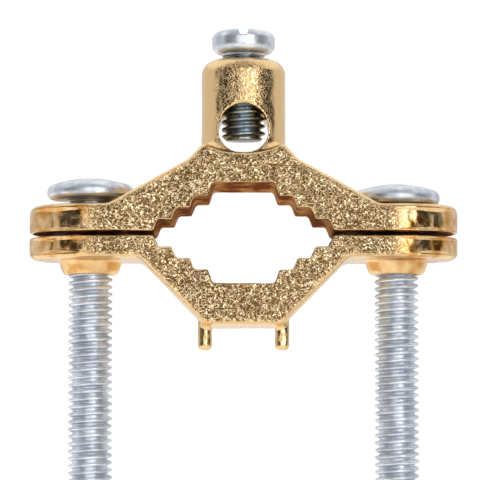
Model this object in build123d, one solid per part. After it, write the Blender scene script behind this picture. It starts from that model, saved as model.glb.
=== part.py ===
"""Earthing pipe clamp: two toothed cast jaws, two clamp screws and a wire screw.

The origin is the centre of the pipe opening. The pipe runs along Y, the clamp
screws stand along Z and the ears reach out along X. Sizes are in millimetres.
"""

import os
from math import radians, tan

from build123d import *

# Jaws: what both castings share
SCREW_SPACING = 42.0
JAW_DEPTH = 17.0
JAW_GAP = 0.4
OUTER_EDGE_RADIUS = 1.2
MATING_EDGE_RADIUS = 0.5
INNER_EDGE_RADIUS = 0.25

# Teeth: a stair on each side of the opening that ends in a flat crown
OPENING_WIDTH = 24.2
TOOTH_COUNT = 4
TOOTH_RUN = 2.45
TOOTH_RISE = 1.56
TOOTH_LEAN = 0.62
CROWN_RISE = 1.82
TOOTH_CORNER_RADIUS = 0.3

# Upper jaw: ears, arms and the saddle in front of the barrel
UPPER_EAR_THICKNESS = 3.95
UPPER_ARM_FOOT = 18.3
UPPER_FOOT_RADIUS = 3.0
KNEE_X = 7.5
KNEE_DROP = 0.9
KNEE_RADIUS = 1.5
SHOULDER_INSET = 0.5
SHOULDER_RISE = 1.4
SHOULDER_RADIUS = 1.0
UPPER_WALL = 4.3

# Barrel with the cross hole for the wire
BARREL_DIAMETER = 11.7
BARREL_ROOF = 6.55
BARREL_TOP_RADIUS = 2.2
BARREL_ROOT_RADIUS = 0.9
WIRE_HOLE_DIAMETER = 6.9

# Lower jaw: arms, flat bottom, tapped bosses and lugs
LOWER_EAR_THICKNESS = 3.2
LOWER_ARM_FOOT = 14.1
LOWER_FOOT_RADIUS = 1.5
LOWER_BASE_HALF = 5.2
LOWER_BASE_RADIUS = 1.0
LOWER_WALL = 5.75
BOSS_HEIGHT = 1.9
BOSS_WALL = 1.4
BOSS_TAPER = 18.0
BOSS_EDGE_RADIUS = 0.9
BOSS_ROOT_RADIUS = 0.35
LUG_DIAMETER = 2.1
LUG_LENGTH = 3.4
LUG_INSET = 2.5
LUG_ROOT_RADIUS = 0.6
LUG_END_RADIUS = 0.7

# Clamp screws
CLAMP_THREAD = 6.0
CLAMP_LENGTH = 50.0
CLAMP_HEAD_DIAMETER = 12.0
CLAMP_HEAD_HEIGHT = 2.95
CLAMP_CROWN_HEIGHT = 1.15
CLAMP_HEAD_TOP_RADIUS = 1.1
CLAMP_HEAD_UNDER_RADIUS = 0.9
CLAMP_SLOT_WIDTH = 1.4
CLAMP_SLOT_DEPTH = 1.3
LEFT_HEAD_LIFT = 0.9
RIGHT_HEAD_LIFT = 0.1

# Wire screw
WIRE_THREAD = 6.0
WIRE_SCREW_REACH = 4.65
WIRE_HEAD_LIFT = 0.8
WIRE_HEAD_DIAMETER = 8.66
WIRE_HEAD_HEIGHT = 3.45
WIRE_CROWN_HEIGHT = 0.6
WIRE_HEAD_TOP_RADIUS = 1.1
WIRE_HEAD_UNDER_RADIUS = 1.2
WIRE_SLOT_WIDTH = 1.0
WIRE_SLOT_DEPTH = 1.2

# Screw fits and details
EAR_HOLE_CLEARANCE = 0.3
HEAD_SEAT_CLEARANCE = 0.4
TAPPED_CLEARANCE = 0.05
SLOT_FLARE = 0.25
TIP_CHAMFER = 0.6

# Heights that follow from the sizes above
MATING_Z = JAW_GAP / 2
CROWN_Z = MATING_Z + TOOTH_RISE * (TOOTH_COUNT - 1) + CROWN_RISE
UPPER_EAR_TOP = MATING_Z + UPPER_EAR_THICKNESS
SADDLE_Z = CROWN_Z + UPPER_WALL
WIRE_HOLE_Z = SADDLE_Z + WIRE_HOLE_DIAMETER / 2
BARREL_TOP = WIRE_HOLE_Z + WIRE_HOLE_DIAMETER / 2 + BARREL_ROOF
LOWER_EAR_BOTTOM = MATING_Z + LOWER_EAR_THICKNESS
LOWER_BASE_Z = CROWN_Z + LOWER_WALL
WIRE_SCREW_LENGTH = WIRE_HEAD_LIFT + BARREL_ROOF + WIRE_SCREW_REACH

SCREW_X = SCREW_SPACING / 2
JAW_HALF_WIDTH = SCREW_X + JAW_DEPTH / 2


def mirrored(right_half):
    """A left-to-right point list from the points of its right half."""
    return [(-x, z) for x, z in reversed(right_half)] + right_half


def rounded(face, corners):
    """A flat face with each listed (x, z, radius) corner rounded on both sides."""
    for x, z, radius in corners:
        pair = face.vertices().filter_by(
            lambda v: abs(abs(v.X) - x) < 1e-3 and abs(v.Y - z) < 1e-3
        )
        face = fillet(pair, radius)
    return face


def side_prism(face):
    """A prism through the jaw's depth from a face drawn in X and Z."""
    return extrude(Plane.XZ * face, JAW_DEPTH, both=True)


def vertical_hole(x, diameter, low, high):
    """The solid of a round vertical hole between two heights."""
    return Pos(x, 0, low) * extrude(Circle(diameter / 2), high - low)


def casting_blank(face):
    """A side profile cut to the plan of the jaws, with its two rims rounded."""
    plan = extrude(SlotCenterToCenter(SCREW_SPACING, JAW_DEPTH), BARREL_TOP, both=True)
    blank = plan & side_prism(face)
    rims = blank.edges().filter_by(Axis.Y, reverse=True).filter_by(Axis.Z, reverse=True)
    outer = rims.filter_by(lambda e: abs(e.center().Z) > MATING_Z + 1e-3)
    blank = fillet(outer, OUTER_EDGE_RADIUS)
    rims = blank.edges().filter_by(Axis.Y, reverse=True)
    mating = rims.filter_by(lambda e: abs(abs(e.center().Z) - MATING_Z) < 1e-3)
    return fillet(mating, MATING_EDGE_RADIUS)


def blended(casting, piece, radius):
    """The casting and a piece that stands on it as one, with a fillet between them."""
    joined = casting + piece
    root = joined.edges().filter_by(
        lambda e: casting.distance_to(e @ 0.5) < 1e-3 and piece.distance_to(e @ 0.5) < 1e-3
    )
    return fillet(root, radius)


def opening_prism():
    """The upper half of the toothed pipe opening, running out below the jaw."""
    half_width = OPENING_WIDTH / 2
    stair = []
    for step in range(TOOTH_COUNT):
        tip_x = half_width - TOOTH_RUN * step
        tip_z = MATING_Z + TOOTH_RISE * step
        rise = CROWN_RISE if step == TOOTH_COUNT - 1 else TOOTH_RISE
        stair += [(tip_x, tip_z), (tip_x - TOOTH_LEAN, tip_z + rise)]
    stair[0] = (half_width + TOOTH_LEAN, MATING_Z - TOOTH_RISE)
    outline = FilletPolyline(*mirrored(stair[::-1]), radius=TOOTH_CORNER_RADIUS)
    return side_prism(make_face([outline, Line(outline @ 1, outline @ 0)]))


def cut_teeth(blank, prism):
    """The blank with the pipe opening cut and its inner edges broken."""
    jaw = blank - prism
    teeth = jaw.edges().filter_by(
        lambda e: abs(abs(e.center().Y) - JAW_DEPTH / 2) < 1e-3
        and abs(e.center().X) < OPENING_WIDTH / 2
        and abs(e.center().Z) < CROWN_Z + 1e-3
    )
    return fillet(teeth, INNER_EDGE_RADIUS)


def upper_blank():
    """The ears and arms of the upper jaw, with the saddle that the barrel stands in."""
    shoulder_x = BARREL_DIAMETER / 2 - SHOULDER_INSET
    shoulder_z = SADDLE_Z + SHOULDER_RISE
    knee_z = SADDLE_Z - KNEE_DROP
    beyond = JAW_HALF_WIDTH + JAW_DEPTH
    right = [
        (shoulder_x, shoulder_z),
        (KNEE_X, knee_z),
        (UPPER_ARM_FOOT, UPPER_EAR_TOP),
        (beyond, UPPER_EAR_TOP),
        (beyond, MATING_Z),
    ]
    face = make_face(Polyline(*mirrored(right), close=True))
    saddle_radius = (shoulder_x**2 + SHOULDER_RISE**2) / (2 * SHOULDER_RISE)
    face -= Pos(0, SADDLE_Z + saddle_radius) * Circle(saddle_radius)
    face = rounded(
        face,
        [
            (shoulder_x, shoulder_z, SHOULDER_RADIUS),
            (KNEE_X, knee_z, KNEE_RADIUS),
            (UPPER_ARM_FOOT, UPPER_EAR_TOP, UPPER_FOOT_RADIUS),
        ],
    )
    return casting_blank(face)


def upper_jaw():
    """The upper casting: ears, arms, teeth and the barrel that holds the wire."""
    barrel = vertical_hole(0, BARREL_DIAMETER, CROWN_Z + UPPER_WALL / 2, BARREL_TOP)
    barrel = fillet(barrel.edges().sort_by(Axis.Z)[-1], BARREL_TOP_RADIUS)
    jaw = blended(upper_blank(), barrel, BARREL_ROOT_RADIUS)
    jaw = cut_teeth(jaw, opening_prism())

    wire_hole = Pos(0, 0, WIRE_HOLE_Z) * extrude(
        Plane.XZ * Circle(WIRE_HOLE_DIAMETER / 2), JAW_DEPTH, both=True
    )
    jaw -= wire_hole
    jaw -= vertical_hole(0, WIRE_THREAD + 2 * TAPPED_CLEARANCE, WIRE_HOLE_Z, BARREL_TOP)
    for x in (-SCREW_X, SCREW_X):
        diameter = CLAMP_THREAD + 2 * EAR_HOLE_CLEARANCE
        jaw -= vertical_hole(x, diameter, 0, UPPER_EAR_TOP)
        seat_diameter = CLAMP_HEAD_DIAMETER + 2 * HEAD_SEAT_CLEARANCE
        jaw -= vertical_hole(x, seat_diameter, UPPER_EAR_TOP, BARREL_TOP)
    return jaw


def tapped_boss(x):
    """A tapered round boss below a lower ear, its lower edge rounded."""
    top_radius = CLAMP_THREAD / 2 + TAPPED_CLEARANCE + BOSS_WALL
    low_radius = top_radius - BOSS_HEIGHT * tan(radians(BOSS_TAPER))
    boss = Cone(low_radius, top_radius, BOSS_HEIGHT)
    boss = fillet(boss.edges().sort_by(Axis.Z)[0], BOSS_EDGE_RADIUS)
    return Pos(x, 0, -LOWER_EAR_BOTTOM - BOSS_HEIGHT / 2) * boss


def lug(x):
    """A short round lug below the flat bottom, near the front face."""
    low = -LOWER_BASE_Z - LUG_LENGTH
    pin = vertical_hole(x, LUG_DIAMETER, low, -LOWER_BASE_Z + LUG_DIAMETER)
    pin = fillet(pin.edges().sort_by(Axis.Z)[0], LUG_END_RADIUS)
    return Pos(0, LUG_INSET - JAW_DEPTH / 2, 0) * pin


def lower_jaw():
    """The lower casting: ears, tapped bosses, arms, teeth and the two lugs."""
    beyond = JAW_HALF_WIDTH + JAW_DEPTH
    right = [
        (LOWER_BASE_HALF, -LOWER_BASE_Z),
        (LOWER_ARM_FOOT, -LOWER_EAR_BOTTOM),
        (beyond, -LOWER_EAR_BOTTOM),
        (beyond, -MATING_Z),
    ]
    face = make_face(Polyline(*mirrored(right), close=True))
    face = rounded(
        face,
        [
            (LOWER_ARM_FOOT, -LOWER_EAR_BOTTOM, LOWER_FOOT_RADIUS),
            (LOWER_BASE_HALF, -LOWER_BASE_Z, LOWER_BASE_RADIUS),
        ],
    )
    jaw = casting_blank(face)
    for side in (-1, 1):
        jaw = blended(jaw, tapped_boss(side * SCREW_X), BOSS_ROOT_RADIUS)
        jaw = blended(jaw, lug(side * LOWER_BASE_HALF), LUG_ROOT_RADIUS)
    jaw = cut_teeth(jaw, mirror(opening_prism(), Plane.XY))
    for x in (-SCREW_X, SCREW_X):
        diameter = CLAMP_THREAD + 2 * TAPPED_CLEARANCE
        low = -LOWER_EAR_BOTTOM - BOSS_HEIGHT
        jaw -= vertical_hole(x, diameter, low, 0)
    return jaw


def pan_screw(thread, length, head_diameter, head_height, crown, top_radius, under_radius):
    """A pan head screw without its slot: the head stands on Z = 0, the shank below."""
    shank = thread / 2
    rim = head_diameter / 2
    side = head_height - crown
    dome = RadiusArc((rim, side), (0, head_height), -(rim**2 + crown**2) / (2 * crown))
    flank = Polyline(
        (0, head_height),
        (0, -length),
        (shank - TIP_CHAMFER, -length),
        (shank, TIP_CHAMFER - length),
        (shank, 0),
        (rim, 0),
        (rim, side),
    )
    half = make_face([flank, dome])
    under = min(under_radius, 0.95 * (rim - shank))
    half = rounded(half, [(rim, 0, under), (rim, side, top_radius)])
    return revolve(Plane.XZ * half, Axis.Z)


def slot_cutter(head_height, width, depth):
    """A flared slot along X, open above the head."""
    flare = 2 * SLOT_FLARE
    face = make_face(
        Polyline(
            (-width / 2, head_height - depth),
            (width / 2, head_height - depth),
            (width / 2 + flare, head_height + depth),
            (-width / 2 - flare, head_height + depth),
            close=True,
        )
    )
    return extrude(Plane.YZ * face, CLAMP_HEAD_DIAMETER, both=True)


def clamp_screw(x, lift):
    """A clamp screw through one ear, its head standing above it by the lift."""
    screw = pan_screw(
        CLAMP_THREAD,
        CLAMP_LENGTH,
        CLAMP_HEAD_DIAMETER,
        CLAMP_HEAD_HEIGHT,
        CLAMP_CROWN_HEIGHT,
        CLAMP_HEAD_TOP_RADIUS,
        CLAMP_HEAD_UNDER_RADIUS,
    )
    screw -= slot_cutter(CLAMP_HEAD_HEIGHT, CLAMP_SLOT_WIDTH, CLAMP_SLOT_DEPTH)
    return Pos(x, 0, UPPER_EAR_TOP + lift) * screw


def wire_screw():
    """The screw in the barrel, its slot in line with the wire hole."""
    screw = pan_screw(
        WIRE_THREAD,
        WIRE_SCREW_LENGTH,
        WIRE_HEAD_DIAMETER,
        WIRE_HEAD_HEIGHT,
        WIRE_CROWN_HEIGHT,
        WIRE_HEAD_TOP_RADIUS,
        WIRE_HEAD_UNDER_RADIUS,
    )
    slot = slot_cutter(WIRE_HEAD_HEIGHT, WIRE_SLOT_WIDTH, WIRE_SLOT_DEPTH)
    screw -= Rot(0, 0, 90) * slot
    return Pos(0, 0, BARREL_TOP + WIRE_HEAD_LIFT) * screw


def main():
    """Write each piece to its own file."""
    pieces = {
        "upper_jaw": upper_jaw(),
        "lower_jaw": lower_jaw(),
        "clamp_screw_left": clamp_screw(-SCREW_X, LEFT_HEAD_LIFT),
        "clamp_screw_right": clamp_screw(SCREW_X, RIGHT_HEAD_LIFT),
        "wire_screw": wire_screw(),
    }
    os.makedirs("parts", exist_ok=True)
    for name, shape in pieces.items():
        export_step(shape, f"parts/{name}.step")


if __name__ == "__main__":
    main()
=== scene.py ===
"""Looks of an earthing pipe clamp: cast brass jaws, zinc plated screws and a white studio.

Every place is in metres in the part's own frame: the pipe runs along Y, the clamp
screws stand along Z and the ears reach out along X. Sizes that a maker would quote
are kept in millimetres and multiplied by MM where they are used.
"""

import logging
import math
from dataclasses import dataclass, field
from enum import Enum

import bmesh
import bpy
import numpy as np
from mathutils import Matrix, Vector, noise
from mathutils.bvhtree import BVHTree

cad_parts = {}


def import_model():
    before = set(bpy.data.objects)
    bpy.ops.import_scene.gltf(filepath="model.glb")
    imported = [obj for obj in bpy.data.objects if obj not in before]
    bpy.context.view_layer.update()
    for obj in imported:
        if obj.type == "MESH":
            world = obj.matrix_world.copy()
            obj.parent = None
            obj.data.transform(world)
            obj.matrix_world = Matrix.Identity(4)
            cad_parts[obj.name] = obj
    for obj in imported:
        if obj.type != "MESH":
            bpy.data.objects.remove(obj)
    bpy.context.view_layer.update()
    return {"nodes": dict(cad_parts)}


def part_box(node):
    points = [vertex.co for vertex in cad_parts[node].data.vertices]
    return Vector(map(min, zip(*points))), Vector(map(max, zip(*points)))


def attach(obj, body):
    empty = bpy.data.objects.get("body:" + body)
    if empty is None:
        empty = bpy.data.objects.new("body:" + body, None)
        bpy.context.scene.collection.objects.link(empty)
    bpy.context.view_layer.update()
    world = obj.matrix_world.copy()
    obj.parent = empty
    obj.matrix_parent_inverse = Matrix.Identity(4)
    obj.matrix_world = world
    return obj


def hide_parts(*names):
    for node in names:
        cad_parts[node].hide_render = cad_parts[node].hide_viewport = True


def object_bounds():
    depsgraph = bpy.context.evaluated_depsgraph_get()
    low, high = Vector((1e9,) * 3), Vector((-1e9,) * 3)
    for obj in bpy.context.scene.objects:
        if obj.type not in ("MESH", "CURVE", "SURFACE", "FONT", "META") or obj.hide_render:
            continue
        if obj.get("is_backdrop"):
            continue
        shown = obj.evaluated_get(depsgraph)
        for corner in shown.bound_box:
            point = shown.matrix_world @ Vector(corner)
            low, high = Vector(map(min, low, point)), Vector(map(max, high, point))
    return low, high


MM = 0.001
IMAGE_PIXELS = 480
SENSOR_MM = 36.0
GRAIN_LAYER = "cast_grain"
WELD_MM = 0.001
CLAMP_HEAD_MM = 2.95
WIRE_HEAD_MM = 3.45

log = logging.getLogger("earthing_clamp")


class Jaw(Enum):
    """The two castings, by node name."""

    UPPER = "upper_jaw"
    LOWER = "lower_jaw"


class Screw(Enum):
    """The three screws, by node name."""

    CLAMP_LEFT = "clamp_screw_left"
    CLAMP_RIGHT = "clamp_screw_right"
    WIRE = "wire_screw"


class Radiance(Enum):
    """How bright a patch of the tent round the clamp is, with plain paper at about 1."""

    SOFTBOX = 3.2
    BOUNCE = 1.8
    HORIZON = 0.74
    SHADE = 0.5
    LENS = 0.06
    FLAG = 0.02


def linear(colour: str) -> tuple[float, float, float, float]:
    """Turn an sRGB hex colour into the linear colour that a socket takes.

    Args:
        colour: The colour as #RRGGBB.

    Returns:
        Red, green, blue and alpha.
    """
    parts = [int(colour[i : i + 2], 16) / 255 for i in (1, 3, 5)]
    low = [c / 12.92 if c <= 0.04045 else ((c + 0.055) / 1.055) ** 2.4 for c in parts]
    return (*low, 1.0)


def add_node(
    tree: bpy.types.NodeTree,
    kind: str,
    settings: dict[str, object] | None = None,
    inputs: dict[str | int, object] | None = None,
) -> bpy.types.Node:
    """Add one node with its settings, constants and links.

    Args:
        tree: The node tree that takes the node.
        kind: The node's type name.
        settings: The node's own properties.
        inputs: For each input, an output socket to link or a constant to set.

    Returns:
        The new node.
    """
    node = tree.nodes.new(kind)
    for name, value in (settings or {}).items():
        setattr(node, name, value)
    for name, value in (inputs or {}).items():
        if isinstance(value, bpy.types.NodeSocket):
            tree.links.new(value, node.inputs[name])
        else:
            node.inputs[name].default_value = value
    return node


def new_material(name: str) -> tuple[bpy.types.Material, bpy.types.NodeTree]:
    """Make an empty node material.

    Args:
        name: The material's name.

    Returns:
        The material and its cleared node tree.
    """
    material = bpy.data.materials.new(name)
    material.use_nodes = True
    material.node_tree.nodes.clear()
    return material, material.node_tree


def smoothstep(low: float, high: float, value: np.ndarray) -> np.ndarray:
    """Ease from 0 to 1 between two values.

    Args:
        low: Where the result leaves 0.
        high: Where the result reaches 1.
        value: The numbers to ease.

    Returns:
        The eased numbers.
    """
    t = np.clip((value - low) / (high - low), 0.0, 1.0)
    return t * t * (3 - 2 * t)


@dataclass(frozen=True)
class CastBrass:
    """Yellow brass, sand cast and tumbled.

    The flat faces keep the skin of the mould: short wandering ridges. Their crests are
    painted pale cream, a painted highlight for the glints they throw, and their hollows are
    painted dark brown, partly dirt and partly painted shade. Tumbling has rubbed the rounded
    edges, ear ends and lugs to a soft tan gold, clouded with a browner gold, with only a
    trace of the grain. The sand was about 0.2 mm, too fine to show, so its grain is drawn
    at 0.36 mm.
    """

    name: str = "cast_tumbled_brass"
    metal: str = "#EECB96"
    browner: str = "#C98E48"
    skin: str = "#AC8858"
    # Painted highlight: the crests of the grain are painted pale cream for their glints
    painted_glint: str = "#F7E3BC"
    # Partly dirt, partly painted shade: the hollows of the grain are painted dark brown
    hollow_dirt_and_shade: str = "#3E2C16"
    stain: str = "#9A6F78"
    grain_mm: float = 0.36
    lump_mm: float = 0.9
    lump_share: float = 0.3
    height_range: tuple[float, float] = (0.16, 0.78)
    painted_glint_range: tuple[float, float] = (0.45, 0.95)
    hollow_dirt_and_shade_top: float = 0.5
    hollow_dirt_and_shade_share: float = 0.8
    cloud_mm: float = 2.4
    cloud_range: tuple[float, float] = (0.35, 0.7)
    relief_mm: float = 0.065
    rubbed_share: float = 0.03
    shine: float = 0.12
    dull: float = 0.3
    rubbed: float = 0.22
    ear_start_mm: float = 15.0
    ear_end_mm: float = 23.0
    stain_at_mm: tuple[float, float, float] = (-6.25, -8.4, -5.95)
    stain_radius_mm: float = 0.42
    stain_core: float = 0.4
    stain_share: float = 0.85

    def material(self) -> bpy.types.Material:
        """Build the node material.

        Returns:
            The material, which reads the mesh's grain layer.
        """
        material, tree = new_material(self.name)
        place = add_node(tree, "ShaderNodeTexCoord").outputs["Object"]
        grain_layer = add_node(tree, "ShaderNodeAttribute", {"attribute_name": GRAIN_LAYER})
        cast = grain_layer.outputs["Fac"]
        grain = add_node(
            tree,
            "ShaderNodeTexNoise",
            {"noise_type": "RIDGED_MULTIFRACTAL"},
            {
                "Vector": place,
                "Scale": 1 / (self.grain_mm * MM),
                "Detail": 1.5,
                "Offset": 0.8,
                "Gain": 1.0,
                "Distortion": 0.6,
            },
        )
        lumps = add_node(
            tree,
            "ShaderNodeTexNoise",
            None,
            {"Vector": place, "Scale": 1 / (self.lump_mm * MM), "Detail": 1.0},
        )
        cloud = add_node(
            tree,
            "ShaderNodeTexNoise",
            None,
            {"Vector": place, "Scale": 1 / (self.cloud_mm * MM), "Detail": 2.0},
        )
        blend = add_node(
            tree,
            "ShaderNodeMix",
            None,
            {"Factor": self.lump_share, "A": grain.outputs["Fac"], "B": lumps.outputs["Fac"]},
        )
        height = add_node(
            tree,
            "ShaderNodeMapRange",
            {"interpolation_type": "SMOOTHSTEP"},
            {
                "Value": blend.outputs["Result"],
                "From Min": self.height_range[0],
                "From Max": self.height_range[1],
            },
        )
        depth = add_node(
            tree,
            "ShaderNodeMapRange",
            None,
            {"Value": cast, "To Min": self.rubbed_share, "To Max": 1.0},
        )
        relief = add_node(
            tree,
            "ShaderNodeMath",
            {"operation": "MULTIPLY"},
            {0: height.outputs["Result"], 1: depth.outputs["Result"]},
        )
        bump = add_node(
            tree,
            "ShaderNodeBump",
            None,
            {"Distance": self.relief_mm * MM, "Height": relief.outputs["Value"]},
        )
        # The hollows' dark brown: partly dirt in them, partly painted shade
        low = add_node(
            tree,
            "ShaderNodeMapRange",
            {"interpolation_type": "SMOOTHSTEP"},
            {
                "Value": height.outputs["Result"],
                "From Max": self.hollow_dirt_and_shade_top,
                "To Min": self.hollow_dirt_and_shade_share,
                "To Max": 0.0,
            },
        )
        dirt_and_shade_amount = add_node(
            tree, "ShaderNodeMath", {"operation": "MULTIPLY"}, {0: low.outputs["Result"], 1: cast}
        )
        clouded = add_node(
            tree,
            "ShaderNodeMapRange",
            {"interpolation_type": "SMOOTHSTEP"},
            {
                "Value": cloud.outputs["Fac"],
                "From Min": self.cloud_range[0],
                "From Max": self.cloud_range[1],
            },
        )
        parts = add_node(tree, "ShaderNodeSeparateXYZ", None, {"Vector": place})
        outward = add_node(
            tree, "ShaderNodeMath", {"operation": "ABSOLUTE"}, {0: parts.outputs["X"]}
        )
        warmth = add_node(
            tree,
            "ShaderNodeMapRange",
            {"interpolation_type": "SMOOTHSTEP"},
            {
                "Value": outward.outputs["Value"],
                "From Min": self.ear_start_mm * MM,
                "From Max": self.ear_end_mm * MM,
                "To Max": clouded.outputs["Result"],
            },
        )
        tone = add_node(
            tree,
            "ShaderNodeMix",
            {"data_type": "RGBA"},
            {"Factor": warmth.outputs["Result"], 6: linear(self.metal), 7: linear(self.browner)},
        )
        # Painted highlight: how far each crest is painted pale cream
        high = add_node(
            tree,
            "ShaderNodeMapRange",
            {"interpolation_type": "SMOOTHSTEP"},
            {
                "Value": height.outputs["Result"],
                "From Min": self.painted_glint_range[0],
                "From Max": self.painted_glint_range[1],
            },
        )
        skin_with_painted_glints = add_node(
            tree,
            "ShaderNodeMix",
            {"data_type": "RGBA"},
            {"Factor": high.outputs["Result"], 6: linear(self.skin), 7: linear(self.painted_glint)},
        )
        dressed = add_node(
            tree,
            "ShaderNodeMix",
            {"data_type": "RGBA"},
            {"Factor": cast, 6: tone.outputs[2], 7: skin_with_painted_glints.outputs[2]},
        )
        with_hollow_dirt_and_shade = add_node(
            tree,
            "ShaderNodeMix",
            {"data_type": "RGBA"},
            {"Factor": dirt_and_shade_amount.outputs["Value"], 6: dressed.outputs[2], 7: linear(self.hollow_dirt_and_shade)},
        )
        away = add_node(
            tree,
            "ShaderNodeVectorMath",
            {"operation": "DISTANCE"},
            {0: place, 1: [value * MM for value in self.stain_at_mm]},
        )
        stained = add_node(
            tree,
            "ShaderNodeMapRange",
            {"interpolation_type": "SMOOTHSTEP"},
            {
                "Value": away.outputs["Value"],
                "From Min": self.stain_core * self.stain_radius_mm * MM,
                "From Max": self.stain_radius_mm * MM,
                "To Min": self.stain_share,
                "To Max": 0.0,
            },
        )
        colour = add_node(
            tree,
            "ShaderNodeMix",
            {"data_type": "RGBA"},
            {"Factor": stained.outputs["Result"], 6: with_hollow_dirt_and_shade.outputs[2], 7: linear(self.stain)},
        )
        cast_roughness = add_node(
            tree,
            "ShaderNodeMapRange",
            None,
            {"Value": height.outputs["Result"], "To Min": self.dull, "To Max": self.shine},
        )
        roughness = add_node(
            tree,
            "ShaderNodeMix",
            None,
            {"Factor": cast, "A": self.rubbed, "B": cast_roughness.outputs["Result"]},
        )
        surface = add_node(
            tree,
            "ShaderNodeBsdfPrincipled",
            None,
            {
                "Base Color": colour.outputs[2],
                "Metallic": 1.0,
                "Roughness": roughness.outputs["Result"],
                "Normal": bump.outputs["Normal"],
            },
        )
        add_node(
            tree, "ShaderNodeOutputMaterial", None, {"Surface": surface.outputs["BSDF"]}
        )
        return material


@dataclass(frozen=True)
class RecessPaintedShade:
    """Brass between the jaws and in the teeth, painted red brown.

    The red brown is painted shade and painted reflection: it stands in for the shade between
    the jaws and the light that brass throws on brass there. It lies in broad soft bands
    along the pipe, paler and shinier in some, darker and duller in others.
    """

    name: str = "brass_with_painted_recess_shade"
    # Painted shade and painted reflection: the paler and the darker red brown
    paler_painted_shade: str = "#E2A862"
    darker_painted_shade: str = "#7E4822"
    edge: str = "#C4965F"
    band_mm: tuple[float, float, float] = (3.0, 6.0, 3.0)
    band_range: tuple[float, float] = (0.34, 0.58)
    grain_mm: float = 0.3
    relief_mm: float = 0.02
    shine: float = 0.24
    dull: float = 0.42
    metallic: float = 0.6
    gloss: float = 0.0

    def material(self) -> bpy.types.Material:
        """Build the node material.

        Returns:
            The material.
        """
        material, tree = new_material(self.name)
        place = add_node(tree, "ShaderNodeTexCoord").outputs["Object"]
        along = add_node(
            tree,
            "ShaderNodeVectorMath",
            {"operation": "DIVIDE"},
            {0: place, 1: [value * MM for value in self.band_mm]},
        )
        bands = add_node(
            tree,
            "ShaderNodeTexNoise",
            None,
            {"Vector": along.outputs["Vector"], "Scale": 1.0, "Detail": 2.0},
        )
        grain = add_node(
            tree,
            "ShaderNodeTexNoise",
            None,
            {"Vector": place, "Scale": 1 / (self.grain_mm * MM), "Detail": 1.0},
        )
        amount = add_node(
            tree,
            "ShaderNodeMapRange",
            {"interpolation_type": "SMOOTHSTEP"},
            {
                "Value": bands.outputs["Fac"],
                "From Min": self.band_range[0],
                "From Max": self.band_range[1],
            },
        )
        colour = add_node(
            tree,
            "ShaderNodeMix",
            {"data_type": "RGBA"},
            {"Factor": amount.outputs["Result"], 6: linear(self.paler_painted_shade), 7: linear(self.darker_painted_shade)},
        )
        roughness = add_node(
            tree,
            "ShaderNodeMapRange",
            None,
            {"Value": amount.outputs["Result"], "To Min": self.shine, "To Max": self.dull},
        )
        bump = add_node(
            tree,
            "ShaderNodeBump",
            None,
            {"Distance": self.relief_mm * MM, "Height": grain.outputs["Fac"]},
        )
        surface = add_node(
            tree,
            "ShaderNodeBsdfPrincipled",
            None,
            {
                "Base Color": colour.outputs[2],
                "Metallic": self.metallic,
                "Roughness": roughness.outputs["Result"],
                "Specular IOR Level": self.gloss,
                "Specular Tint": linear(self.edge),
                "Normal": bump.outputs["Normal"],
            },
        )
        add_node(
            tree, "ShaderNodeOutputMaterial", None, {"Surface": surface.outputs["BSDF"]}
        )
        return material


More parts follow.
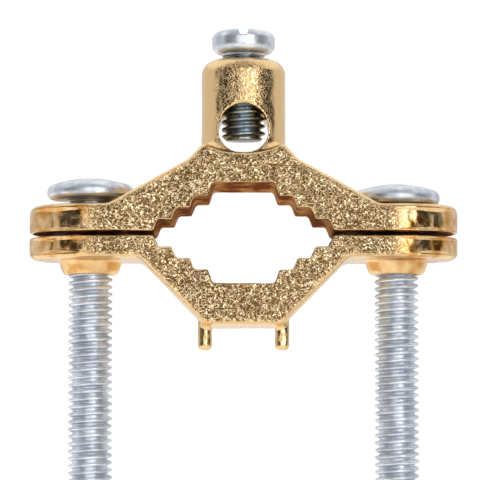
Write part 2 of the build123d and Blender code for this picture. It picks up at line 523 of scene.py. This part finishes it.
@dataclass(frozen=True)
class ZincPlate:
    """Bright zinc plate on cold headed steel.

    The plate is a cool blue white that clouds a little from place to place, and
    handling has left hair lines in it that catch the light. A real hair line is about
    0.02 mm wide, too fine to show, so the lines are drawn 0.16 mm wide.
    """

    name: str = "bright_zinc_plate"
    bright: str = "#E3E8EF"
    clouded: str = "#C6CCD6"
    cloud_mm: float = 1.6
    cloud_range: tuple[float, float] = (0.35, 0.65)
    grain_mm: float = 0.22
    grain_relief_mm: float = 0.008
    hairline_mm: tuple[float, float, float] = (0.16, 0.16, 2.6)
    hairline_relief_mm: float = 0.008
    shine: float = 0.34
    dull: float = 0.46

    def material(self) -> bpy.types.Material:
        """Build the node material.

        Returns:
            The material.
        """
        material, tree = new_material(self.name)
        place = add_node(tree, "ShaderNodeTexCoord").outputs["Object"]
        cloud = add_node(
            tree,
            "ShaderNodeTexNoise",
            None,
            {"Vector": place, "Scale": 1 / (self.cloud_mm * MM), "Detail": 3.0},
        )
        grain = add_node(
            tree,
            "ShaderNodeTexNoise",
            None,
            {"Vector": place, "Scale": 1 / (self.grain_mm * MM), "Detail": 1.0},
        )
        drawn = add_node(
            tree,
            "ShaderNodeVectorMath",
            {"operation": "DIVIDE"},
            {0: place, 1: [value * MM for value in self.hairline_mm]},
        )
        hairlines = add_node(
            tree,
            "ShaderNodeTexNoise",
            None,
            {"Vector": drawn.outputs["Vector"], "Scale": 1.0, "Detail": 1.0},
        )
        amount = add_node(
            tree,
            "ShaderNodeMapRange",
            {"interpolation_type": "SMOOTHSTEP"},
            {
                "Value": cloud.outputs["Fac"],
                "From Min": self.cloud_range[0],
                "From Max": self.cloud_range[1],
            },
        )
        colour = add_node(
            tree,
            "ShaderNodeMix",
            {"data_type": "RGBA"},
            {"Factor": amount.outputs["Result"], 6: linear(self.bright), 7: linear(self.clouded)},
        )
        roughness = add_node(
            tree,
            "ShaderNodeMapRange",
            None,
            {"Value": amount.outputs["Result"], "To Min": self.shine, "To Max": self.dull},
        )
        fine = add_node(
            tree,
            "ShaderNodeBump",
            None,
            {"Distance": self.grain_relief_mm * MM, "Height": grain.outputs["Fac"]},
        )
        scratched = add_node(
            tree,
            "ShaderNodeBump",
            None,
            {
                "Distance": self.hairline_relief_mm * MM,
                "Height": hairlines.outputs["Fac"],
                "Normal": fine.outputs["Normal"],
            },
        )
        surface = add_node(
            tree,
            "ShaderNodeBsdfPrincipled",
            None,
            {
                "Base Color": colour.outputs[2],
                "Metallic": 1.0,
                "Roughness": roughness.outputs["Result"],
                "Normal": scratched.outputs["Normal"],
            },
        )
        add_node(
            tree, "ShaderNodeOutputMaterial", None, {"Surface": surface.outputs["BSDF"]}
        )
        return material


# Painted shade: the whole thread of the wire screw is painted darker, for the shade of the holes
# it stands in
ZINC_IN_PAINTED_SHADE = ZincPlate(
    name="zinc_plate_painted_shade", bright="#AEBDC8", clouded="#84929D", shine=0.26, dull=0.34
)


@dataclass(frozen=True)
class PaintedFloor:
    """Matt white paint: even, with no gloss, so that it only carries a soft shadow."""

    name: str = "matt_white_paint"
    colour: str = "#F8F7F4"
    roughness: float = 0.9
    gloss: float = 0.1

    def material(self) -> bpy.types.Material:
        """Build the node material.

        Returns:
            The material.
        """
        material, tree = new_material(self.name)
        surface = add_node(
            tree,
            "ShaderNodeBsdfPrincipled",
            None,
            {
                "Base Color": linear(self.colour),
                "Roughness": self.roughness,
                "Specular IOR Level": self.gloss,
            },
        )
        add_node(
            tree, "ShaderNodeOutputMaterial", None, {"Surface": surface.outputs["BSDF"]}
        )
        return material


@dataclass
class Skin:
    """A fine even mesh laid over one CAD node, with the true normal at each point."""

    node: bpy.types.Object
    voxel_mm: float
    cut_below: float | None = None
    mesh: bpy.types.Mesh = field(init=False)
    points: np.ndarray = field(init=False)
    normals: np.ndarray = field(init=False)

    def __post_init__(self) -> None:
        """Lay the mesh and settle it on the curved form."""
        self.mesh = self.remeshed(self.welded())
        self.points, self.normals = self.settled()
        self.store()

    def welded(self) -> bpy.types.Mesh:
        """Copy the node as one closed mesh, cut off flat below a height if one is given.

        Returns:
            The copy.
        """
        copy = bmesh.new()
        copy.from_mesh(self.node.data)
        bmesh.ops.remove_doubles(copy, verts=copy.verts, dist=WELD_MM * MM)
        if self.cut_below is not None:
            everything = copy.verts[:] + copy.edges[:] + copy.faces[:]
            bmesh.ops.bisect_plane(
                copy,
                geom=everything,
                plane_co=(0, 0, self.cut_below),
                plane_no=(0, 0, 1),
                clear_inner=True,
            )
            bmesh.ops.holes_fill(copy, edges=[edge for edge in copy.edges if edge.is_boundary])
        mesh = bpy.data.meshes.new(f"{self.node.name}_weld")
        copy.to_mesh(mesh)
        copy.free()
        return mesh

    def remeshed(self, mesh: bpy.types.Mesh) -> bpy.types.Mesh:
        """Lay even quads over a closed mesh.

        Args:
            mesh: The closed mesh.

        Returns:
            The even mesh.
        """
        carrier = bpy.data.objects.new("skin_carrier", mesh)
        bpy.context.collection.objects.link(carrier)
        modifier = carrier.modifiers.new("even", "REMESH")
        modifier.mode = "VOXEL"
        modifier.voxel_size = self.voxel_mm * MM
        graph = bpy.context.evaluated_depsgraph_get()
        even = bpy.data.meshes.new_from_object(carrier.evaluated_get(graph))
        bpy.data.objects.remove(carrier)
        bpy.data.meshes.remove(mesh)
        return even

    def settled(self) -> tuple[np.ndarray, np.ndarray]:
        """Move each point off the flat facets on to the curve that their normals describe.

        Returns:
            The points and their normals.
        """
        source = self.node.data
        source.calc_loop_triangles()
        corners = np.array([t.vertices for t in source.loop_triangles])
        loops = np.array([t.loops for t in source.loop_triangles])
        places = np.array([v.co for v in source.vertices])
        loop_normals = np.array([n.vector for n in source.corner_normals])
        tree = BVHTree.FromPolygons(places.tolist(), corners.tolist())
        points = np.array([v.co for v in self.mesh.vertices])
        nearest = [tree.find_nearest(point) for point in points]
        foot = np.array([hit[0] for hit in nearest])
        face = np.array([hit[2] for hit in nearest])
        corner = places[corners[face]]
        normal = loop_normals[loops[face]]
        edge_a = corner[:, 1] - corner[:, 0]
        edge_b = corner[:, 2] - corner[:, 0]
        reach = foot - corner[:, 0]
        aa = np.einsum("ij,ij->i", edge_a, edge_a)
        ab = np.einsum("ij,ij->i", edge_a, edge_b)
        bb = np.einsum("ij,ij->i", edge_b, edge_b)
        ra = np.einsum("ij,ij->i", reach, edge_a)
        rb = np.einsum("ij,ij->i", reach, edge_b)
        area = np.maximum(aa * bb - ab * ab, 1e-30)
        share_b = (bb * ra - ab * rb) / area
        share_c = (aa * rb - ab * ra) / area
        share = np.stack([1 - share_b - share_c, share_b, share_c], axis=1).clip(0, 1)
        share /= share.sum(axis=1, keepdims=True)
        height = np.einsum("ijk,ijk->ij", foot[:, None, :] - corner, normal)
        lift = -0.5 * np.einsum("ij,ij,ijk->ik", share, height, normal)
        blended = np.einsum("ij,ijk->ik", share, normal)
        blended /= np.linalg.norm(blended, axis=1, keepdims=True)
        return points + lift, blended

    def store(self) -> None:
        """Write the points back to the mesh and shade it smooth."""
        self.mesh.vertices.foreach_set("co", self.points.astype(np.float32).ravel())
        self.mesh.shade_smooth()
        self.mesh.update()


def piece(name: str, mesh: bpy.types.Mesh, *finishes: bpy.types.Material) -> bpy.types.Object:
    """Make a dressed object from a mesh.

    Args:
        name: The piece's name.
        mesh: Its mesh.
        finishes: Its finishes, by the material index of its faces.

    Returns:
        The object, linked to the scene.
    """
    mesh.name = name
    for finish in finishes:
        mesh.materials.append(finish)
    made = bpy.data.objects.new(name, mesh)
    bpy.context.collection.objects.link(made)
    return made


@dataclass
class CastJaw:
    """One jaw casting with the skin of its mould.

    The skin is only ever cut into the form, so the jaw stays inside its solid. A name
    that ends in facing holds how much of a normal points one way, between 0 and 1.
    """

    which: Jaw
    node: bpy.types.Object
    finish: CastBrass = CastBrass()
    # The teeth and the faces between the jaws take painted shade and painted reflection
    painted_recess: RecessPaintedShade = RecessPaintedShade()
    voxel_mm: float = 0.2
    # The casting's own places
    screw_x_mm: float = 21.0
    ear_radius_mm: float = 8.5
    ear_bottom_mm: float = 3.4
    boss_radius_mm: float = 5.0
    crown_mm: float = 6.7
    lug_drop_mm: float = 5.9
    opening_half_mm: float = 12.4
    tooth_slack_mm: float = 0.1
    mating_mm: float = 0.3
    broad_face_mm: float = 7.8
    arm_top_mm: float = 13.0
    barrel_start_mm: float = 12.0
    wire_hole_z_mm: float = 14.45
    wire_hole_radius_mm: float = 3.45
    rim_mm: float = 0.25
    rim_facing: float = 0.5
    # Where drilling and tapping end and the cast surface begins
    screw_hole_edge_mm: tuple[float, float] = (3.5, 4.0)
    wire_hole_edge_mm: tuple[float, float] = (0.05, 0.5)
    tapping_edge_mm: tuple[float, float] = (3.1, 3.4)
    # How much grain each part keeps
    ear_smooth_mm: tuple[float, float] = (19.0, 22.3)
    smooth_share: float = 0.05
    barrel_share: float = 0.4
    grain_facing: tuple[float, float] = (0.62, 0.97)
    level_facing: float = 0.6
    # The fall of the ears' faces by the angle round the screw, in degrees
    fall_turns: tuple[float, ...] = (-8.0, 11.5, 37.7, 90.0)
    fall_depths_mm: tuple[float, ...] = (0.0, 0.3, 0.66, 0.0)
    fall_facing: tuple[float, float] = (0.6, 0.2)
    ear_band_mm: float = 2.0
    # The tilt of the arms' faces by the place along X
    arm_x_mm: tuple[float, ...] = (-16.0, -10.0, -8.5, -4.7, 4.7, 5.6, 9.0, 14.0)
    arm_depths_mm: tuple[float, ...] = (0.0, 0.42, 0.34, 0.0, 0.0, 0.12, 0.12, 0.0)
    arm_facing: tuple[float, float] = (0.75, 0.95)
    # The unevenness of the mould
    wave_mm: float = 7.0
    wave_depth_mm: float = 0.1
    lump_mm: float = 1.0
    lump_depth_mm: float = 0.16
    lump_facing: tuple[float, float] = (0.6, 0.95)
    outer_lump_share: float = 0.4
    body: bpy.types.Object = field(init=False)

    def grain(self, skin: Skin) -> np.ndarray:
        """Say where the mould's skin is left.

        Args:
            skin: The jaw's fine mesh.

        Returns:
            For each point 1 on a flat cast face and 0 on a rubbed edge.
        """
        facing = np.abs(skin.normals[:, 1])
        x, y, z = skin.points.T / MM
        kept = 1.0 - (1.0 - self.smooth_share) * smoothstep(*self.ear_smooth_mm, np.abs(x))
        if self.which is Jaw.UPPER:
            kept[z > self.barrel_start_mm] = self.barrel_share
        if self.which is Jaw.LOWER:
            bosses = np.hypot(np.abs(x) - self.screw_x_mm, y) < self.boss_radius_mm
            lugs = z < -self.crown_mm - self.lug_drop_mm
            kept[(bosses & (z < -self.ear_bottom_mm)) | lugs] = self.smooth_share
        return smoothstep(*self.grain_facing, facing) * self.cast_surface(skin) * kept

    def cast_surface(self, skin: Skin) -> np.ndarray:
        """Tell cast surfaces from drilled and tapped ones.

        Args:
            skin: The jaw's fine mesh.

        Returns:
            For each point 1 on a cast surface and 0 in a hole.
        """
        x, y, z = skin.points.T / MM
        cast = np.ones(len(x))
        for side in (-1, 1):
            from_screw = np.hypot(x - side * self.screw_x_mm, y)
            cast *= smoothstep(*self.screw_hole_edge_mm, from_screw)
        if self.which is Jaw.UPPER:
            from_wire = np.hypot(x, z - self.wire_hole_z_mm)
            cast *= smoothstep(*self.wire_hole_edge_mm, from_wire - self.wire_hole_radius_mm)
            from_tapping = np.where(z > self.wire_hole_z_mm, np.hypot(x, y), np.inf)
            cast *= smoothstep(*self.tapping_edge_mm, from_tapping)
        return cast

    def sunk(self, skin: Skin) -> np.ndarray:
        """Work out how far the casting's waves and lumps sink below the true form.

        Args:
            skin: The jaw's fine mesh.

        Returns:
            The depth at each point, in metres.
        """
        wave = [noise.noise(Vector(p) / (self.wave_mm * MM)) for p in skin.points]
        lump = [noise.noise(Vector(p) / (self.lump_mm * MM)) for p in skin.points]
        waves = self.wave_depth_mm * (0.5 + 0.5 * np.array(wave))
        lumps = self.lump_depth_mm * (0.5 + 0.5 * np.array(lump))
        broad = smoothstep(*self.lump_facing, np.abs(skin.normals[:, 1]))
        lumps *= self.outer_lump_share + (1.0 - self.outer_lump_share) * broad
        depth = (waves + lumps) * self.cast_surface(skin) + self.fall(skin) + self.arms(skin)
        if self.which is Jaw.UPPER:
            depth += self.rim(skin)
        return depth * MM

    def fall(self, skin: Skin) -> np.ndarray:
        """Let the broad faces of the ears fall away a little before they turn the end.

        Args:
            skin: The jaw's fine mesh.

        Returns:
            The depth of the fall at each point, in millimetres.
        """
        x, y, _ = np.abs(skin.points.T) / MM
        past = x - self.screw_x_mm
        turn = np.degrees(np.where(past > 0, np.arctan2(past, y), past / self.ear_radius_mm))
        depth = np.interp(turn, self.fall_turns, self.fall_depths_mm)
        upright = smoothstep(*self.fall_facing, np.abs(skin.normals[:, 2]))
        outside = np.hypot(past, y) > self.ear_radius_mm - self.ear_band_mm
        return depth * upright * outside

    def arms(self, skin: Skin) -> np.ndarray:
        """Tilt the broad faces of the arms a little, with a crease where each meets the crown.

        Args:
            skin: The jaw's fine mesh.

        Returns:
            The depth at each point, in millimetres.
        """
        x, y, z = skin.points.T / MM
        depth = np.interp(x, self.arm_x_mm, self.arm_depths_mm)
        broad = smoothstep(*self.arm_facing, np.abs(skin.normals[:, 1]))
        return depth * broad * (np.abs(y) > self.broad_face_mm) * (np.abs(z) < self.arm_top_mm)

    def painted_recess_faces(self, skin: Skin) -> np.ndarray:
        """Find the faces in the teeth and between the jaws that take the painted shade and
        reflection.

        Args:
            skin: The jaw's fine mesh.

        Returns:
            For each face 1 in the teeth and between the jaws, and 0 outside.
        """
        x, _, z = np.abs(skin.points.T) / MM
        teeth = (x < self.opening_half_mm) & (z < self.crown_mm + self.tooth_slack_mm)
        level = np.abs(skin.normals[:, 1]) < self.level_facing
        inward = (skin.points * skin.normals)[:, [0, 2]].sum(axis=1) < 0
        points = level & inward & (teeth | (z < self.mating_mm))
        corners = np.empty(len(skin.mesh.polygons) * 4, dtype=np.int32)
        skin.mesh.polygons.foreach_get("vertices", corners)
        return (points[corners].reshape(-1, 4).sum(axis=1) > 2).astype(np.int32)

    def rim(self, skin: Skin) -> np.ndarray:
        """Break the edge of the wire hole where the drill came through.

        Args:
            skin: The upper jaw's fine mesh.

        Returns:
            The depth of the broken edge at each point, in millimetres.
        """
        x, y, z = skin.points.T / MM
        from_edge = np.hypot(x, z - self.wire_hole_z_mm) - self.wire_hole_radius_mm
        outside = np.abs(skin.normals[:, 1]) > self.rim_facing
        return np.where(outside, np.clip(self.rim_mm - from_edge, 0.0, self.rim_mm), 0.0)

    def build(self) -> None:
        """Lay the skin over the node, sink it and note where the grain is."""
        skin = Skin(self.node, self.voxel_mm)
        grain = self.grain(skin)
        painted_recess = self.painted_recess_faces(skin)
        skin.points = skin.points - skin.normals * self.sunk(skin)[:, None]
        skin.store()
        layer = skin.mesh.attributes.new(GRAIN_LAYER, "FLOAT", "POINT")
        layer.data.foreach_set("value", grain.astype(np.float32))
        # Faces in the teeth and between the jaws take the painted shade and reflection
        skin.mesh.polygons.foreach_set("material_index", painted_recess)
        finishes = (self.finish.material(), self.painted_recess.material())
        self.body = piece(f"{self.which.value}_casting", skin.mesh, *finishes)

    def dress(self) -> None:
        """Let the casting stand for its node and ride on its body."""
        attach(self.body, self.which.value)
        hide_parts(self.which.value)


@dataclass(frozen=True)
class Thread:
    """A rolled metric thread, right handed, with rounded crests and roots."""

    major_mm: float = 6.0
    pitch_mm: float = 1.0
    depth_mm: float = 0.61
    crest_share: float = 0.24
    root_share: float = 0.12
    segments: int = 56
    rows: int = 10

    @property
    def root_radius_mm(self) -> float:
        """The radius at the bottom of the thread."""
        return self.major_mm / 2 - self.depth_mm

    def radius_mm(self, row: int) -> float:
        """Work out the radius of one row of the thread.

        Args:
            row: The row's number, counted up the screw.

        Returns:
            The radius in millimetres.
        """
        from_crest = abs((row / self.rows + 0.5) % 1.0 - 0.5) * 2
        fall = (from_crest - self.crest_share) / (1 - self.root_share - self.crest_share)
        sunk = float(smoothstep(0.0, 1.0, np.array(fall)))
        return self.major_mm / 2 - self.depth_mm * sunk

    def add_to(self, form: bmesh.types.BMesh, axis: Vector, low: float, high: float) -> None:
        """Add the threaded shank as one closed shell.

        Args:
            form: The mesh that takes it.
            axis: A point on the screw's axis.
            low: The height of the tip, in metres.
            high: The height of the shank's top, in metres.
        """
        pitch = self.pitch_mm * MM
        root = self.root_radius_mm * MM
        laid = math.ceil(((high - low) / pitch + 1) * self.rows)
        grid = []
        for row in range(laid + self.rows + 1):
            radius = self.radius_mm(row) * MM
            ring = []
            for segment in range(self.segments):
                share = segment / self.segments
                height = low + pitch * (row / self.rows - 1 + share)
                height = min(max(height, low), high)
                reach = min(radius, root + height - low, root + high - height)
                angle = math.tau * share
                out = Vector((math.cos(angle), math.sin(angle), 0.0)) * reach
                ring.append(form.verts.new((axis.x + out.x, axis.y + out.y, height)))
            grid.append(ring)
        for row in range(laid):
            for segment in range(self.segments):
                step, wrap = (0, segment + 1) if segment + 1 < self.segments else (self.rows, 0)
                corners = (
                    grid[row][segment],
                    grid[row + step][wrap],
                    grid[row + 1 + step][wrap],
                    grid[row + 1][segment],
                )
                form.faces.new(corners)
        loose = [vert for ring in grid for vert in ring if not vert.link_faces]
        bmesh.ops.delete(form, geom=loose, context="VERTS")


@dataclass
class SlottedScrew:
    """One slotted screw: its head laid over the solid's head, on a true thread."""

    which: Screw
    node: bpy.types.Object
    head_height_mm: float
    finish: ZincPlate = ZincPlate()
    thread_finish: ZincPlate = ZincPlate()
    neck_mm: float = 0.3
    voxel_mm: float = 0.12
    thread: Thread = Thread()
    body: bpy.types.Object = field(init=False)

    def build(self) -> None:
        """Join the head and the threaded shank in one mesh."""
        low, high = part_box(self.which.value)
        seat = high.z - self.head_height_mm * MM
        neck = seat - self.neck_mm * MM
        head = Skin(self.node, self.voxel_mm, cut_below=neck)
        form = bmesh.new()
        self.thread.add_to(form, (low + high) / 2, low.z, seat)
        bmesh.ops.remove_doubles(form, verts=form.verts, dist=WELD_MM * MM)
        bmesh.ops.holes_fill(form, edges=[edge for edge in form.edges if edge.is_boundary])
        bmesh.ops.recalc_face_normals(form, faces=form.faces)
        for face in form.faces:
            face.material_index = 1
        form.from_mesh(head.mesh)
        form.to_mesh(head.mesh)
        form.free()
        head.mesh.shade_smooth()
        finishes = (self.finish.material(), self.thread_finish.material())
        self.body = piece(f"{self.which.value}_threaded", head.mesh, *finishes)

    def dress(self) -> None:
        """Let the screw stand for its node and ride on its body."""
        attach(self.body, self.which.value)
        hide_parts(self.which.value)


@dataclass(frozen=True)
class Panel:
    """One soft edged patch of the tent, placed by the direction it lies in.

    Azimuth 0 is the camera's side and grows to the right; all angles are in degrees.
    """

    radiance: Radiance
    azimuth: float
    elevation: float
    half_width: float
    half_height: float
    softness: float

    def cover(
        self,
        tree: bpy.types.NodeTree,
        under: bpy.types.NodeSocket | float,
        azimuth: bpy.types.NodeSocket,
        elevation: bpy.types.NodeSocket,
    ) -> bpy.types.NodeSocket:
        """Lay the patch over what the tent shows so far.

        Args:
            tree: The world's node tree.
            under: The radiance so far, a socket or a number.
            azimuth: The socket with the direction's azimuth in radians.
            elevation: The socket with its elevation in radians.

        Returns:
            The radiance with the patch on it.
        """
        sides = []
        for angle, centre, half in (
            (azimuth, self.azimuth, self.half_width),
            (elevation, self.elevation, self.half_height),
        ):
            offset = add_node(
                tree,
                "ShaderNodeMath",
                {"operation": "SUBTRACT"},
                {0: angle, 1: math.radians(centre)},
            )
            apart = add_node(
                tree, "ShaderNodeMath", {"operation": "ABSOLUTE"}, {0: offset.outputs["Value"]}
            )
            side = add_node(
                tree,
                "ShaderNodeMapRange",
                {"interpolation_type": "SMOOTHSTEP"},
                {
                    "Value": apart.outputs["Value"],
                    "From Min": math.radians(half - self.softness / 2),
                    "From Max": math.radians(half + self.softness / 2),
                    "To Min": 1.0,
                    "To Max": 0.0,
                },
            )
            sides.append(side.outputs["Result"])
        mask = add_node(
            tree, "ShaderNodeMath", {"operation": "MULTIPLY"}, {0: sides[0], 1: sides[1]}
        )
        laid = add_node(
            tree,
            "ShaderNodeMix",
            None,
            {"Factor": mask.outputs["Value"], "A": under, "B": self.radiance.value},
        )
        return laid.outputs["Result"]


@dataclass
class Studio:
    """A white tent with soft boxes and dark flags, a pale floor and the camera.

    The floor's far edge stays below the photograph's frame. The panels lie over each other
    in the order given, each by its azimuth, elevation, half sizes and softness in degrees.
    """

    floor: PaintedFloor = PaintedFloor()
    floor_span_mm: float = 880.0
    jaw_travel_mm: float = 38.5
    tent_radiance: float = 1.05
    backdrop_radiance: float = 1.05
    camera_mm: tuple[float, float, float] = (-0.48, -354.0, -24.18)
    camera_pitch: float = 3.838
    focal_pixels: float = 2580.0
    lamp_mm: tuple[float, float, float] = (-160.0, -60.0, 260.0)
    lamp_size_mm: float = 200.0
    lamp_watts: float = 0.7
    panels: tuple[Panel, ...] = (
        Panel(Radiance.HORIZON, 0, 4, 200, 22, 12),
        Panel(Radiance.SHADE, 0, 54, 62, 34, 16),
        Panel(Radiance.BOUNCE, -8, 9, 17, 16, 6),
        Panel(Radiance.SOFTBOX, 25, 8, 16, 16, 6),
        Panel(Radiance.LENS, 2, -2, 10, 7, 4),
        Panel(Radiance.FLAG, 62, 2, 25, 26, 4),
        Panel(Radiance.FLAG, -47, 2, 26, 26, 4),
    )

    def build(self) -> None:
        """Set up the floor and its lamp, the tent, the camera and the picture's plain tone."""
        self.build_floor()
        self.build_lamp()
        self.build_tent()
        self.build_camera()
        bpy.context.scene.view_settings.view_transform = "Standard"

    def build_floor(self) -> None:
        """Lay the floor where the lower jaw just reaches it when it is wound right down."""
        low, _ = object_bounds()
        jaw_low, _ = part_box(Jaw.LOWER.value)
        level = min(low[2], jaw_low[2] - self.jaw_travel_mm * MM)
        half = self.floor_span_mm * MM / 2
        mesh = bpy.data.meshes.new("studio_floor")
        corners = [(-half, -half), (half, -half), (half, half), (-half, half)]
        mesh.from_pydata([(x, y, level) for x, y in corners], [], [(0, 1, 2, 3)])
        piece("studio_floor", mesh, self.floor.material())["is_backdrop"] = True

    def build_lamp(self) -> None:
        """Hang a soft lamp over the floor, too high up for the metal to mirror it."""
        data = bpy.data.lights.new("floor_lamp", "AREA")
        data.size = self.lamp_size_mm * MM
        data.energy = self.lamp_watts
        lamp = bpy.data.objects.new("floor_lamp", data)
        lamp.location = Vector(self.lamp_mm) * MM
        lamp.rotation_euler = lamp.location.to_track_quat("Z", "Y").to_euler()
        lamp.visible_glossy = False
        bpy.context.collection.objects.link(lamp)

    def build_tent(self) -> None:
        """Light the clamp from a tent whose patches the metal mirrors."""
        world = bpy.data.worlds.new("studio_tent")
        bpy.context.scene.world = world
        world.use_nodes = True
        tree = world.node_tree
        tree.nodes.clear()
        toward = add_node(tree, "ShaderNodeTexCoord").outputs["Generated"]
        parts = add_node(tree, "ShaderNodeSeparateXYZ", None, {"Vector": toward})
        ahead = add_node(
            tree, "ShaderNodeMath", {"operation": "MULTIPLY"}, {0: parts.outputs["Y"], 1: -1.0}
        )
        azimuth = add_node(
            tree,
            "ShaderNodeMath",
            {"operation": "ARCTAN2"},
            {0: parts.outputs["X"], 1: ahead.outputs["Value"]},
        )
        elevation = add_node(
            tree, "ShaderNodeMath", {"operation": "ARCSINE"}, {0: parts.outputs["Z"]}
        )
        radiance: bpy.types.NodeSocket | float = self.tent_radiance
        for panel in self.panels:
            radiance = panel.cover(
                tree, radiance, azimuth.outputs["Value"], elevation.outputs["Value"]
            )
        lit = add_node(
            tree, "ShaderNodeBackground", None, {"Color": linear("#FFFFFF"), "Strength": radiance}
        )
        plain = add_node(
            tree,
            "ShaderNodeBackground",
            None,
            {"Color": linear("#FFFFFF"), "Strength": self.backdrop_radiance},
        )
        seen = add_node(tree, "ShaderNodeLightPath").outputs["Is Camera Ray"]
        shown = add_node(
            tree,
            "ShaderNodeMixShader",
            None,
            {0: seen, 1: lit.outputs["Background"], 2: plain.outputs["Background"]},
        )
        add_node(tree, "ShaderNodeOutputWorld", None, {"Surface": shown.outputs["Shader"]})

    def build_camera(self) -> None:
        """Place the camera a little below the clamp, looking slightly up."""
        data = bpy.data.cameras.new("photo_camera")
        data.sensor_width = SENSOR_MM
        data.lens = self.focal_pixels * SENSOR_MM / IMAGE_PIXELS
        camera = bpy.data.objects.new("photo_camera", data)
        camera.location = Vector(self.camera_mm) * MM
        camera.rotation_euler = (math.radians(90 + self.camera_pitch), 0.0, 0.0)
        bpy.context.collection.objects.link(camera)
        bpy.context.scene.camera = camera


def main() -> None:
    """Build the clamp's pieces and the studio."""
    logging.basicConfig(level=logging.INFO, format="%(message)s")
    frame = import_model()
    nodes = frame["nodes"]
    pieces: list[CastJaw | SlottedScrew] = [CastJaw(jaw, nodes[jaw.value]) for jaw in Jaw]
    for screw in (Screw.CLAMP_LEFT, Screw.CLAMP_RIGHT):
        pieces.append(SlottedScrew(screw, nodes[screw.value], CLAMP_HEAD_MM))
    wire_node = nodes[Screw.WIRE.value]
    pieces.append(SlottedScrew(Screw.WIRE, wire_node, WIRE_HEAD_MM, thread_finish=ZINC_IN_PAINTED_SHADE))
    for made in pieces:
        made.build()
        made.dress()
        log.info("%s: %d faces", made.body.name, len(made.body.data.polygons))
    Studio().build()
    log.info("studio: floor, tent and camera")


if __name__ == "__main__":
    main()
